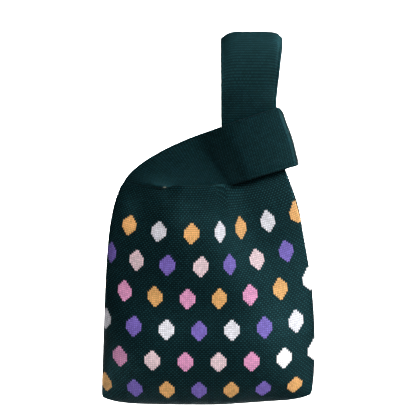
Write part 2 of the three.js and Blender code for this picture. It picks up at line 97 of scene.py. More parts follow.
FOOT_RADIUS = (HALF_STRAP**2 + FOOT_RISE**2) / (2 * FOOT_RISE)
PIVOT_Z = FOOT_Z + FOOT_RADIUS
ALONG = np.array([math.cos(LOOP_ANGLE), math.sin(LOOP_ANGLE)])  # the way the loop runs
ACROSS = np.array([-ALONG[1], ALONG[0]])
SPLIT_LOW = np.array([HANDLE_X - HALF_STRAP + 5, NECK_LEFT[1] + 1])
SPLIT_HIGH = SPLIT_LOW + LOOP_WIDTH * ACROSS
LOOP_REACH = (HANDLE_X + HALF_STRAP + LOOP_CLEAR - SPLIT_LOW[0]) / ALONG[0]
LOOP_TOP = SPLIT_HIGH[1] + LOOP_REACH * ALONG[1] + LOOP_FLARE * ACROSS[1]

# Knit gauge: a wale is a column of stitches, a course is a row of them. It is a little coarser than
# that of a real bag, so that the stitches show.
PANEL_WALES = 117
COURSE_LOW, COURSE_GROWTH = 1.82, 0.0021  # height of a panel's lowest course, and growth per mm up
STRAP_WALES = 31
STRAP_COURSE = 2.5
RELIEF = 0.16  # how far a stitch stands out of the cloth
DOT_WALES, DOT_COURSES = 17, 16  # from one dot to the next, across and up
DOT_SHIFT = 7  # every other row of dots moves over by this many stitches
DOT_HALF, DOT_SLANT = 4.0, 5.5  # in stitches from a dot's middle: how far across, and across plus up

# Yarn seams: width, depth and length of a stitch.
PANEL_LINK, STRAP_LINK, TACK = (2.6, 3.4, 3.8), (1.6, 2.0, 3.0), (1.2, 1.6, 0.9)
LINK_SUNK = 0.3  # how far a strap's seam is sunk into the cloth
TACK_HALF, TACK_STEPS = 1.9, 24  # half the length of a bar tack, and the points along it


def lerp(a, b, k):
    return a + (b - a) * k


def smoothstep(x, low, high):
    k = np.clip((x - low) / (high - low), 0, 1)
    return k * k * (3 - 2 * k)


def hump(x, middle, width):
    return np.exp(-(((x - middle) / width) ** 2))


def pulled(start, start_way, start_pull, end, end_way, end_pull):
    """The four points of a cubic curve with these ends and end directions."""
    start_way = start_way / np.linalg.norm(start_way)
    return start, start + start_way * start_pull / 3, end - end_way * end_pull / 3, end


def on_curve(curve, k):
    k = np.asarray(k, float)[..., None]
    a, b, c, d = curve
    return a * (1 - k) ** 3 + 3 * b * k * (1 - k) ** 2 + 3 * c * k * k * (1 - k) + d * k**3


SHOULDER_WAY = np.array([LEFT_LEAN + LEFT_CURVE * LEFT_POWER, SHOULDER[1]])
LOOP_UPPER = pulled(SHOULDER, SHOULDER_WAY, 80, SPLIT_HIGH, ALONG, 80)
LOOP_LOWER = pulled(NECK_LEFT, np.array([1.0, 0.0]), 60, SPLIT_LOW, ALONG, 60)
NECK_END = (HANDLE_X - HALF_STRAP - 7 - NECK_LEFT[0]) / (SPLIT_LOW[0] - NECK_LEFT[0])
NECK_RIGHT = on_curve(LOOP_LOWER, NECK_END) + [0, HEM_LAP]
HORN = np.array([HANDLE_X - HALF_STRAP, FOOT_Z + FOOT_RISE])
HEEL = np.array([HANDLE_X + HALF_STRAP, FOOT_Z + FOOT_RISE])
NECK_RISE = pulled(
    NECK_RIGHT,
    np.array([1.0, 0.0]),
    HORN[0] - NECK_RIGHT[0],
    HORN,
    np.array([0.0, 1.0]),
    HORN[1] - NECK_RIGHT[1],
)


# The body: each panel fills an outline of four edges and swells to the belly.
def sideways(u):
    return np.sin(np.pi / 2 * (2 * u - 1))


def bottom_edge(u):
    s = sideways(u)
    corner = CORNER_RISE * np.abs(s) ** CORNER_POWER + BOTTOM_TILT * smoothstep(s, 0, 0.7)
    return np.stack([s * HALF_BAG, corner - BOTTOM_SAG * (1 - s * s)], -1)


def left_edge(z):
    k = np.clip((z - CORNER_RISE) / (SHOULDER[1] - CORNER_RISE), 0, 1)
    return np.stack([-HALF_BAG + LEFT_LEAN * k + LEFT_CURVE * k**LEFT_POWER, z], -1)


def right_edge(z):
    foot = CORNER_RISE + BOTTOM_TILT
    k = np.clip((z - foot) / (HEEL[1] - foot), 0, 1)
    low = RIGHT_BULGE * 6.75 * k * (1 - k) ** 2  # 6.75 brings its peak to 1
    bulge = low + RIGHT_SHOULDER * hump(z, 205, 26)
    return np.stack([HALF_BAG - (HALF_BAG - HEEL[0]) * k**RIGHT_POWER + bulge, z], -1)


def foot_arc(k):
    x = lerp(-HALF_STRAP, HALF_STRAP, k)
    return np.stack([HANDLE_X + x, PIVOT_Z - np.sqrt(FOOT_RADIUS**2 - x**2)], -1)


def top_edge(u):
    shoulder = lerp(SHOULDER, NECK_LEFT, (u / NECK_FROM)[..., None])
    along_neck = np.clip((u - NECK_FROM) / (RISE_FROM - NECK_FROM), 0, 1)
    neck = on_curve(LOOP_LOWER, NECK_END * along_neck)
    neck[..., 1] += HEM_LAP * (0.4 * smoothstep(along_neck, 0, 0.2) + 0.6 * along_neck)
    rise = on_curve(NECK_RISE, np.clip((u - RISE_FROM) / (FOOT_FROM - RISE_FROM), 0, 1))
    foot = foot_arc(np.clip((u - FOOT_FROM) / (1 - FOOT_FROM), 0, 1))
    pick = u[..., None]
    parts = [pick <= NECK_FROM, pick <= RISE_FROM, pick <= FOOT_FROM]
    return np.select(parts, [shoulder, neck, rise], foot)


def course_height(s, t, bottom):
    """The height of a course across the panel. The loop lifts the left shoulder and the handle the
    right one, so the courses bow; the topmost ones even out to the neckline."""
    neck_z = NECK_LEFT[1] + 1
    bowed = neck_z + ROW_TILT * s + ROW_BOW * s * s
    level = neck_z + TOP_TILT * s + TOP_BOW * s * s
    return lerp(bottom, lerp(bowed, level, t**5), t), level


def panel_outline(u, t):
    s = sideways(u)
    ends = bottom_edge(np.array([0.0, 1.0]))[:, 1]
    left = left_edge(course_height(-1.0, t, ends[0])[0])[..., 0]
    right = right_edge(course_height(1.0, t, ends[1])[0])[..., 0]
    x = lerp(left, right, (s + 1) / 2)
    z, level = course_height(s, t, bottom_edge(u)[..., 1])
    top = top_edge(u)
    settle = t**14  # only the last courses bend to the cut of the neckline
    x += settle * (top[..., 0] - lerp(SHOULDER[0], HEEL[0], (s + 1) / 2))
    low = LOW_DROOP * smoothstep(t, 0, 0.12) * (1 - smoothstep(t, 0.25, 0.5))
    high = HIGH_DROOP * hump(t, 0.8, 0.08) * smoothstep(s, 0.6, 1)
    z -= (low + high) * smoothstep(s, 0, 0.6) * (1 - t**6)
    return np.stack([x, z + settle * (top[..., 1] - level)], -1)


def panel_depth(s, t):
    """How far a panel stands from the middle of the bag. The slack of the knit hangs in a crest with
    a flatter half on each side of it, and evens out to the neckline."""
    crest = CREST_LOW - CREST_SHIFT * t**CREST_BEND
    from_crest = np.where(s < crest, (crest - s) / (1 + crest), (s - crest) / (1 - crest))
    at_edge = math.hypot(1, CREST_SOFT) - CREST_SOFT
    from_crest = (np.hypot(from_crest, CREST_SOFT) - CREST_SOFT) / at_edge
    neck = smoothstep(t, 0.65, 1)
    left = lerp(1 - smoothstep(t, 0.3, 0.55), 1, neck)
    full = lerp(left, neck, smoothstep(s, crest - CREST_SOFT, crest + CREST_SOFT))
    slope = 1 - FALL * (1 - full) * from_crest**FALL_POWER
    section = slope * np.sqrt(np.clip(1 - from_crest ** lerp(SIDE_SHARP, SIDE_POWER, full), 0, 1))
    fill = np.sqrt(np.clip(1 - (1 - np.minimum(t / BOTTOM_ROUND, 1)) ** 2, 0, 1))
    to_foot = smoothstep(s, sideways(NECK_FROM), sideways(FOOT_FROM))
    mouth = lerp(NECK_DEPTH, STRAP_GAP - SEAM_HALF, to_foot)
    flank = smoothstep(s, 0, FLANK_TO)
    belly = BELLY * (1 - SLACK * smoothstep(t, 0.25, 0.5) * (1 - flank))
    flatter = smoothstep(t, lerp(BELLY_TOP, FLANK_TOP, flank), 1)
    return SEAM_HALF + section * fill * lerp(belly, mouth, flatter)


def hem_forward(x, z):
    """The neckline's edge stands in front of the loop's lower edge. Past its right end it goes on as a
    lip in the cloth, which sinks back under the loop."""
    across = smoothstep(x, -42, -25) * (1 - smoothstep(x, 4, 42))
    under = smoothstep(z, 225.5, 230) * smoothstep(x, 3, 10)
    return HEM_OUT * across * smoothstep(z, 190, 222) * (1 - under)


def gathered(x, z):
    """How much closer the stitches lie: where the pouch folds back to the right, and along the left side,
    where the shoulder draws them in. Between the two they lie wider apart."""
    folded = 0.55 * hump(x, 24, 14) * hump(z, 180, 34)
    drawn_in = (0.12 + 0.43 * smoothstep(z, 100, 170)) * (1 - smoothstep(x, -104, -80))
    wide = 0.13 * hump(x, -28, 24) * smoothstep(z, 85, 130)
    return folded + drawn_in - wide


def body_form(x, z):
    """The main folds of the hanging knit. The straps draw the two shoulders together, so the slack
    falls forward as a pouch below the neckline; the left shoulder drags a hollow beside the end of
    the neckline, and the weight of the cloth sags above the bottom."""
    pouch_z = NECK_LEFT[1] - POUCH_DROP
    crest = 2 + 0.37 * (pouch_z - z)
    below = 1 - smoothstep(z, pouch_z + 24, pouch_z + 48)
    pouch = hump(x, crest, 48) * hump(z, pouch_z, 42) * below
    drag = hump(x, NECK_LEFT[0] + 6, DRAG_SPAN) - hump(x, NECK_LEFT[0] - 26, DRAG_SPAN)
    dragged = smoothstep(z, NECK_LEFT[1] - 65, NECK_LEFT[1] - 15)
    return POUCH * pouch + DRAG * drag * dragged + SAG * hump(z, SAG_HEIGHT, SAG_SPAN)


def small_folds(x, z, side):
    """Shallow folds: drag lines to the right shoulder, a slow sway, and scallops above the bottom. On
    the back they are moved on, so that the two panels don't mirror each other."""
    turn = 0.0 if side < 0 else 1.9
    drag = 0.4 * smoothstep(z, 95, 205) * smoothstep(x, 20, 80)
    drag *= np.sin(2 * np.pi * (0.62 * x + 0.35 * z) / 47 + turn)
    sway = 0.6 * np.sin(2 * np.pi * (0.5 * x - 0.42 * z) / 88 + 0.7 + turn) * smoothstep(z, 15, 70)
    scallop = 0.6 * np.sin(2 * np.pi * x / 71 + 1.1 + turn) * hump(z, 28, 34)
    return drag + sway + scallop


def panel_rows():
    """The heights of the half courses, by length of cloth up the middle of the panel. The knit
    hangs from its top, so the upper courses are drawn out a little more than the lower ones."""
    t = np.linspace(0, 1, 2001)
    middle = panel_outline(np.full_like(t, 0.5), t)
    depth = panel_depth(np.zeros_like(t), t)
    length = np.concatenate([[0], np.cumsum(np.hypot(np.diff(middle[:, 1]), np.diff(depth)))])
    course = COURSE_LOW + COURSE_GROWTH * length[1:]
    courses = np.concatenate([[0], np.cumsum(np.diff(length) / course)])
    rows = 2 * int(courses[-1])
    return np.interp(np.linspace(0, courses[-1], rows + 1), courses, t), courses[-1]


def panel_sheet(side):
    """The middle of a panel's cloth on a grid of half stitches, with its stitch counts."""
    t, courses = panel_rows()
    columns = 2 * PANEL_WALES
    fine = np.linspace(0, 1, 601)
    u = np.empty((len(t), columns + 1))
    for j, height in enumerate(t):
        x, z = panel_outline(fine, np.full_like(fine, height)).T
        steps = np.hypot(np.diff(x), np.diff(panel_depth(sideways(fine), height)))
        length = np.concatenate([[0], np.cumsum(steps * (1 + gathered(x, z)[1:]))])
        u[j] = np.interp(np.linspace(0, length[-1], columns + 1), length, fine)
    t = np.repeat(t[:, None], columns + 1, 1)
    flat = panel_outline(u, t)
    s = sideways(u)
    edge = np.sqrt(1 - s**4) * smoothstep(t, 0, 0.1) * (1 - smoothstep(t, 0.9, 1))
    x, z = flat[..., 0], flat[..., 1]
    depth = panel_depth(s, t) + edge * (body_form(x, z) + small_folds(x, z, side)) + hem_forward(x, z)
    wales = np.broadcast_to(np.linspace(0, PANEL_WALES, columns + 1), u.shape)
    rows = np.broadcast_to(np.linspace(0, courses, len(t))[:, None], u.shape)
    return np.stack([flat[..., 0], side * depth, flat[..., 1]], -1), wales, rows


# The long handle: one strap, up from the front shoulder, over the top and down to the back one.
ROUND_Z = HANDLE_TOP - TOP_ROUND
FRONT_LENGTH = ROUND_Z - FOOT_Z
ROUND_LENGTH = math.pi / 2 * math.hypot(TOP_ROUND, OPEN_GAP - HOLD_FLAT / 2) * math.sqrt(0.5)
HANDLE_LENGTH = 2 * (FRONT_LENGTH + ROUND_LENGTH) + HOLD_FLAT
HANDLE_SEAM_AT = HANDLE_LENGTH - (HANDLE_TOP - HANDLE_SEAM_DROP - FOOT_Z)


def handle_points(u, length):
    side = np.where(length <= HANDLE_LENGTH / 2, -1.0, 1.0)
    rise = np.minimum(length, HANDLE_LENGTH - length)
    turn = np.clip((rise - FRONT_LENGTH) / ROUND_LENGTH, 0, 1) * math.pi / 2
    over = np.clip(rise - FRONT_LENGTH - ROUND_LENGTH, 0, None)
    z = np.where(rise <= FRONT_LENGTH, FOOT_Z + rise, ROUND_Z + TOP_ROUND * np.sin(turn))
    full = OPEN_GAP + OPEN_BACK * side
    opens = LOOP_TOP - np.where(side < 0, OPEN_OVER, BACK_OPENS)  # the front one opens inside the loop
    gap = lerp(STRAP_GAP, full, smoothstep(z, opens, opens + OPEN_OVER))
    foot_depth = panel_depth(sideways(FOOT_FROM + (1 - FOOT_FROM) * u), np.ones_like(u))
    gap = lerp(foot_depth, gap, smoothstep(z, FOOT_Z, PIVOT_Z))
    rounded = HOLD_FLAT / 2 + (full - HOLD_FLAT / 2) * np.cos(turn) - over
    y = gap * rounded / full
    x = lerp(-HALF_STRAP, HALF_STRAP, u) * (1 + STRAP_EASE * smoothstep(z, HORN[1], LOOP_TOP))
    lift = (foot_arc(u)[..., 1] - FOOT_Z) * (1 - smoothstep(z, FOOT_Z, PIVOT_Z))
    beside = np.clip(np.abs(2 * u - 1) - TOP_LEVEL, 0, 1) / (1 - TOP_LEVEL)
    droop = TOP_DROOP * beside ** lerp(LEFT_CORNER, RIGHT_CORNER, u) * smoothstep(z, LOOP_TOP, HANDLE_TOP)
    free, wide = LOOP_TOP + LOOP_FREE, HANDLE_TOP - 9  # between these it widens again
    squeeze = smoothstep(z, HORN[1], LOOP_TOP) * (1 - np.clip((z - free) / (wide - free), 0, 1))
    above = smoothstep(z, LOOP_TOP, ROUND_Z)
    twist = STRAP_TWIST * (2 * u - 1) * above
    curl = STRAP_CURL * np.clip(2 * u - 1, 0, 1) ** 2 * above
    x = HANDLE_X + x - STRAP_PINCH * squeeze * u
    return np.stack([x, side * (y - curl) + twist, z + lift - droop], -1)


def handle_sheet():
    rows = 2 * round(HANDLE_LENGTH / STRAP_COURSE)
    length = np.linspace(0, HANDLE_LENGTH, rows + 1)
    u, length = np.meshgrid(np.linspace(0, 1, 2 * STRAP_WALES + 1), length)
    return handle_points(u, length), STRAP_WALES * u, length / STRAP_COURSE


# The short loop: out of the left shoulder, across in front of the handle, round it and back.
BEND_WIDTH = 4.0  # the bend is a tight oval
BEND_FROM = LOOP_REACH + LOOP_GAP - BEND_WIDTH
BEND_LENGTH = math.pi * math.hypot(BEND_WIDTH, LOOP_EDGE) * math.sqrt(0.5)
WRAP_LENGTH = 2 * BEND_FROM + BEND_LENGTH
LOOP_SEAM_AT = BEND_FROM + BEND_LENGTH + LOOP_SEAM_BACK
ARM_LENGTH = 92.0  # along the middle of an arm


def loop_depth(u, x, z):
    """How far the loop stands from the middle of the bag: it dips beside the handle, then climbs over
    the handle's edge on a line that leans to the left."""
    up = z - CLIMB_Z
    over = smoothstep(x, CLIMB_FROM - LEAN_FROM * up, CLIMB_TO - LEAN_TO * up)
    arm = lerp(ARM_LOW, ARM_HIGH, smoothstep(u, 0, 0.55))
    crown = LOOP_BULGE * (1 - np.clip((x - CROWN_X) / CROWN_SPAN, 0, 1) ** 2)
    return lerp(arm, LOOP_EDGE + crown, over)


def arm_points(u, v):
    flat = lerp(on_curve(LOOP_LOWER, v), on_curve(LOOP_UPPER, v), u[..., None])
    start = panel_depth(sideways(NECK_FROM * (1 - u)), np.ones_like(u))
    roll = ARM_ROLL * (v / ROLL_AT) * np.exp(1 - v / ROLL_AT) * (1 - smoothstep(u, 0.55, 1))
    depth = lerp(start, loop_depth(u, flat[..., 0], flat[..., 1]), np.sin(np.pi / 2 * v)) + roll * (1 - v)
    return np.stack([flat[..., 0], -depth, flat[..., 1]], -1)


def wrap_points(u, length):
    turn = np.clip((length - BEND_FROM) / BEND_LENGTH, 0, 1) * math.pi
    flat = np.minimum(length, BEND_FROM) - np.clip(length - BEND_FROM - BEND_LENGTH, 0, None)
    draw = LOOP_DRAW * smoothstep(u, 0.3, 1) * (flat / BEND_FROM) ** 2
    reach = flat * (1 + LOOP_SPREAD * u / BEND_FROM) - draw + BEND_WIDTH * np.sin(turn)
    width = LOOP_WIDTH + LOOP_FLARE * flat / BEND_FROM
    corner = LOOP_CORNER * np.sin(turn) ** 2 * smoothstep(u, 0.5, 1) ** 2
    p = SPLIT_LOW + reach[..., None] * ALONG + (u * width - corner)[..., None] * ACROSS
    return np.stack([p[..., 0], -np.cos(turn) * loop_depth(u, p[..., 0], p[..., 1]), p[..., 1]], -1)


def loop_sheet():
    arm_rows, wrap_rows = 2 * round(ARM_LENGTH / STRAP_COURSE), 2 * round(WRAP_LENGTH / STRAP_COURSE)
    across = np.linspace(0, 1, 2 * STRAP_WALES + 1)
    arm = arm_points(*np.meshgrid(across, np.linspace(0, 1, arm_rows + 1)))
    wrap = wrap_points(*np.meshgrid(across, np.linspace(0, WRAP_LENGTH, wrap_rows + 1)))
    points = np.concatenate([arm[:-1], wrap, arm[-2::-1] * [1, -1, 1]])
    wales, rows = np.meshgrid(STRAP_WALES * across, np.arange(len(points)) / 2)
    return points, wales, rows


# Cloth meshes
def cloth(name, points, wales, rows, selvage, inner_step, flip=1):
    """A knitted sheet of the cloth's thickness with its stitches standing out of it. With a selvage its
    two long edges are rounded and bound. The inner face has every inner_step-th point, and is smooth
    where that leaves points out."""
    du, dv = np.gradient(points, axis=1), np.gradient(points, axis=0)
    normal = flip * np.cross(du, dv)
    normal /= np.maximum(np.linalg.norm(normal, axis=-1, keepdims=True), 1e-9)
    height, width = points.shape[:2]
    i, j = np.meshgrid(np.arange(width), np.arange(height))
    relief = RELIEF * (np.where(i % 2, 0.6, -0.6) + np.where(j % 2, 0.4, -0.4))
    half = np.full((height, width), KNIT / 2)
    if selvage:
        edge = np.minimum(i, width - 1 - i)
        half *= np.interp(edge, [0, 1, 2], [0.45, 0.9, 1.0])
        relief += np.interp(edge, [1, 2, 3, 4, 5], [0, 0.18, -0.42, -0.1, 0])
    front = points + normal * (half + relief)[..., None]
    inner_half = half if inner_step > 1 else half + relief
    keep = np.s_[::inner_step, ::inner_step]
    back = (points - normal * inner_half[..., None])[keep]
    verts = np.concatenate([front.reshape(-1, 3), back.reshape(-1, 3)])
    uv = np.concatenate(
        [
            np.stack([wales, rows], -1).reshape(-1, 2),
            np.stack([wales[keep], rows[keep]], -1).reshape(-1, 2),
        ]
    )
    outer = np.arange(height * width).reshape(height, width)
    inner = height * width + np.arange(back.shape[0] * back.shape[1]).reshape(back.shape[:2])
    faces = grid_faces(outer) + [f[::-1] for f in grid_faces(inner)]
    faces += rim_faces(border(outer), border(inner))
    if flip < 0:
        faces = [f[::-1] for f in faces]
    return solid(name, verts, faces, uv), front, normal


def grid_faces(index):
    corners = [index[:-1, :-1], index[:-1, 1:], index[1:, 1:], index[1:, :-1]]
    return np.stack(corners, -1).reshape(-1, 4).tolist()


def border(index):
    return np.concatenate([index[0, :-1], index[:-1, -1], index[-1, :0:-1], index[:0:-1, 0]])


def rim_faces(outer, inner):
    """The cut edge of a cloth, where the inner border has as many points as the outer one or half."""
    step, faces = len(outer) // len(inner), []
    for k in range(len(inner)):
        a, b = inner[k], inner[(k + 1) % len(inner)]
        run = [outer[(k * step + n) % len(outer)] for n in range(step + 1)]
        faces.append([run[1], run[0], a, b] if step == 1 else [run[1], run[0], a])
        if step == 2:
            faces += [[run[1], a, b], [run[2], run[1], b]]
    return [[int(v) for v in f] for f in faces]


def solid(name, verts, faces, uv=None):
    """A mesh object from points in millimetres of the bag's own layout."""
    mesh = bpy.data.meshes.new(name)
    mesh.from_pydata(((verts - HOLD) / 1000).tolist(), [], faces)
    if uv is not None:
        layer = mesh.uv_layers.new(name="Stitches")
        loops = np.empty(len(mesh.loops), np.int32)
        mesh.loops.foreach_get("vertex_index", loops)
        layer.data.foreach_set("uv", uv[loops].astype(np.float32).ravel())
    mesh.shade_smooth()
    mesh.validate()
    obj = bpy.data.objects.new(name, mesh)
    bpy.context.scene.collection.objects.link(obj)
    return obj


def yarn_seam(name, path, out, width, depth, stitch):
    """A line of linking yarn along a path: two plies that twist once in every stitch."""
    path = np.asarray(path)
    length = np.concatenate([[0], np.cumsum(np.linalg.norm(np.diff(path, axis=0), axis=1))])
    steps = max(8, round(6 * length[-1] / stitch))
    at = np.linspace(0, length[-1], steps + 1)
    line = np.stack([np.interp(at, length, path[:, k]) for k in range(3)], -1)
    out = np.stack([np.interp(at, length, out[:, k]) for k in range(3)], -1)
    way = np.gradient(line, axis=0)
    way /= np.linalg.norm(way, axis=1, keepdims=True)
    out -= way * np.sum(out * way, axis=1, keepdims=True)
    out /= np.linalg.norm(out, axis=1, keepdims=True)
    side = np.cross(way, out)
    sides, taper, thin = 10, 1.2, 0.35  # the ends run out over the taper to this share
    angle = 2 * np.pi * np.arange(sides) / sides
    ply = 1 + 0.2 * np.cos(2 * angle[None] - 2 * np.pi * at[:, None] / stitch)
    ply *= np.interp(at, [0, taper, length[-1] - taper, length[-1]], [thin, 1, 1, thin])[:, None]
    outward = width / 2 * np.cos(angle)[None, :, None] * out[:, None]
    sideward = depth / 2 * np.sin(angle)[None, :, None] * side[:, None]
    ring = line[:, None] + ply[..., None] * (outward + sideward)
    index = np.arange((steps + 1) * sides).reshape(steps + 1, sides)
    around = np.concatenate([index, index[:, :1]], 1)
    faces = grid_faces(around) + [index[0, ::-1].tolist(), index[-1].tolist()]
    uv = np.stack(np.broadcast_arrays(angle[None] / (2 * np.pi), at[:, None] / stitch), -1)
    return solid(name, ring.reshape(-1, 3), faces, uv.reshape(-1, 2))


def strap_seam(name, face, normal):
    """A linked seam across a strap, from selvage to selvage, sunk a little into the knit."""
    face, normal = face[2:-2], normal[2:-2]
    return yarn_seam(name, face - LINK_SUNK * normal, normal, *STRAP_LINK)


# Materials
def linear(hex_colour):
    """An sRGB hex colour as linear RGBA."""
    parts = [int(hex_colour[k : k + 2], 16) / 255 for k in (1, 3, 5)]
    return [c / 12.92 if c <= 0.04045 else ((c + 0.055) / 1.055) ** 2.4 for c in parts] + [1.0]


def add(tree, kind, inputs=None, out=0, **settings):
    """Adds a node with its settings and links, and gives back one of its outputs or the node."""
    node = tree.nodes.new(kind)
    for key, value in settings.items():
        setattr(node, key, value)
    for key, value in (inputs or {}).items():
        if isinstance(value, bpy.types.NodeSocket):
            tree.links.new(value, node.inputs[key])
        else:
            node.inputs[key].default_value = value
    return node if out is None else node.outputs[out]


GROUND, GLINT = "#081A1D", "#7FF0FF"
AMBER, VIOLET, LILAC = "#DFA766", "#7762B4", "#DDDBE2"
ROSE, PINK, WHITE = "#E2C7CC", "#DC94BC", "#FCF8FA"
# The yarns of each row of dots, from the bottom row up: every even dot, every odd dot, and the
# number of the dot from which the row goes on in white. Dot 9 would lie past the edge.
DOT_ROWS = [
    (VIOLET, AMBER, 9),
    (PINK, ROSE, 3),
    (VIOLET, LILAC, 9),
    (PINK, AMBER, 4),
    (ROSE, VIOLET, 9),
    (AMBER, LILAC, 9),
]


def knit(name, dotted):
    """Acrylic yarn, knitted double on a fine flat machine. Each stitch is a small V of two rounded
    legs, dull and slightly hairy, with painted shading where the legs dip; the second yarn behind pushes
    every other stitch forward, and painted light on those stitches gives the dark ground its fine grain."""
    material = bpy.data.materials.new(name)
    material.use_nodes = True
    tree = material.node_tree
    tree.nodes.clear()
    # Stitch coordinates: one unit is one wale across and one course up, about 2 by 2.1 mm.
    stitches = add(tree, "ShaderNodeUVMap", uv_map="Stitches")
    across = add(tree, "ShaderNodeSeparateXYZ", {0: stitches}, out="X")
    up = add(tree, "ShaderNodeSeparateXYZ", {0: stitches}, out="Y")
    in_wale = add(tree, "ShaderNodeMath", {0: across}, operation="FRACT")
    from_middle = add(tree, "ShaderNodeMath", {0: in_wale, 1: 0.5}, operation="SUBTRACT")
    half = add(tree, "ShaderNodeMath", {0: from_middle}, operation="ABSOLUTE")
    # The legs rise from the middle of the wale to its sides.
    leg = add(tree, "ShaderNodeMath", {0: half, 1: -1.1, 2: up}, operation="MULTIPLY_ADD")
    leg = add(tree, "ShaderNodeMath", {0: leg, 1: 0.28}, operation="ADD")
    in_leg = add(tree, "ShaderNodeMath", {0: leg}, operation="FRACT")
    half_turn = add(tree, "ShaderNodeMath", {0: in_leg, 1: math.pi}, operation="MULTIPLY")
    round_leg = add(tree, "ShaderNodeMath", {0: half_turn}, operation="SINE")
    side_dip = {0: half, 1: 0.3, 2: 0.5, 3: 1.0, 4: 0.0}
    side_dip = add(tree, "ShaderNodeMapRange", side_dip, interpolation_type="SMOOTHSTEP")
    middle_dip = {0: half, 1: 0.0, 2: 0.12, 3: 0.55, 4: 1.0}
    middle_dip = add(tree, "ShaderNodeMapRange", middle_dip, interpolation_type="SMOOTHSTEP")
    dips = add(tree, "ShaderNodeMath", {0: side_dip, 1: middle_dip}, operation="MULTIPLY")
    if not dotted:
        dips = add(tree, "ShaderNodeMapRange", {0: dips, 3: 0.6, 4: 1.0})
    height = add(tree, "ShaderNodeMath", {0: round_leg, 1: dips}, operation="MULTIPLY")
    wale = add(tree, "ShaderNodeMath", {0: across}, operation="FLOOR")
    course = add(tree, "ShaderNodeMath", {0: leg}, operation="FLOOR")
    stitch = add(tree, "ShaderNodeCombineXYZ", {0: wale, 1: course})
    chance = add(tree, "ShaderNodeTexWhiteNoise", {"Vector": stitch}, noise_dimensions="2D")
    count = add(tree, "ShaderNodeMath", {0: wale, 1: course}, operation="ADD")
    pushed = add(tree, "ShaderNodeMath", {0: count, 1: 2.0}, operation="FLOORED_MODULO")
    # Painted shading between the legs, painted light on the pushed stitches, which stand forward, and
    # yarn that takes the dye unevenly.
    dip, top, held, forward = (0.1, 1.7, 0.7, 1.3) if dotted else (0.35, 1.5, 0.9, 1.1)
    painted_shade = add(tree, "ShaderNodeMapRange", {0: height, 3: dip, 4: top})
    painted_push = add(tree, "ShaderNodeMapRange", {0: pushed, 3: held, 4: forward})
    tone = add(tree, "ShaderNodeMapRange", {0: chance, 3: 0.85, 4: 1.15})
    painted_shade = add(tree, "ShaderNodeMath", {0: painted_shade, 1: painted_push}, operation="MULTIPLY")
    painted_shade = add(tree, "ShaderNodeMath", {0: painted_shade, 1: tone}, operation="MULTIPLY")
    ground = add(tree, "ShaderNodeVectorMath", {0: linear(GROUND)[:3], "Scale": painted_shade}, operation="SCALE")
    colour = ground
    # The lamps' glint takes the yarn's own tint, scaled by the painted shading: brighter on the stitch
    # tops, dimmer in the dips.
    glint = add(tree, "ShaderNodeVectorMath", {0: linear(GLINT)[:3], "Scale": painted_shade}, operation="SCALE")
    if dotted:
        inside, yarn = dots(tree, wale, course)
        # Painted shading in the dots as well, milder than in the ground: darker where the legs dip.
        soft = add(tree, "ShaderNodeMapRange", {0: height, 3: 0.55, 4: 1.27})
        soft = add(tree, "ShaderNodeMath", {0: soft, 1: tone}, operation="MULTIPLY")
        dot = add(tree, "ShaderNodeVectorMath", {0: yarn, "Scale": soft}, operation="SCALE")
        colour = add(tree, "ShaderNodeMix", {0: inside, 6: ground, 7: dot}, out=2, data_type="RGBA")
    # Fibres about 0.2 mm apart along the yarn.
    fibres = {"Vector": stitches, "Scale": 9.0, "Detail": 2.0}
    fibres = add(tree, "ShaderNodeTexNoise", fibres, noise_dimensions="2D")
    relief = add(tree, "ShaderNodeMath", {0: fibres, 1: 0.25, 2: height}, operation="MULTIPLY_ADD")
    bump = add(tree, "ShaderNodeBump", {"Height": relief, "Distance": 0.0005, "Strength": 0.3})
    surface = {"Base Color": colour, "Roughness": 0.45, "IOR": 1.49, "Normal": bump}
    surface.update({"Specular IOR Level": 0.25, "Specular Tint": glint})
    shader = add(tree, "ShaderNodeBsdfPrincipled", surface)
    add(tree, "ShaderNodeOutputMaterial", {"Surface": shader}, out=None)
    return material


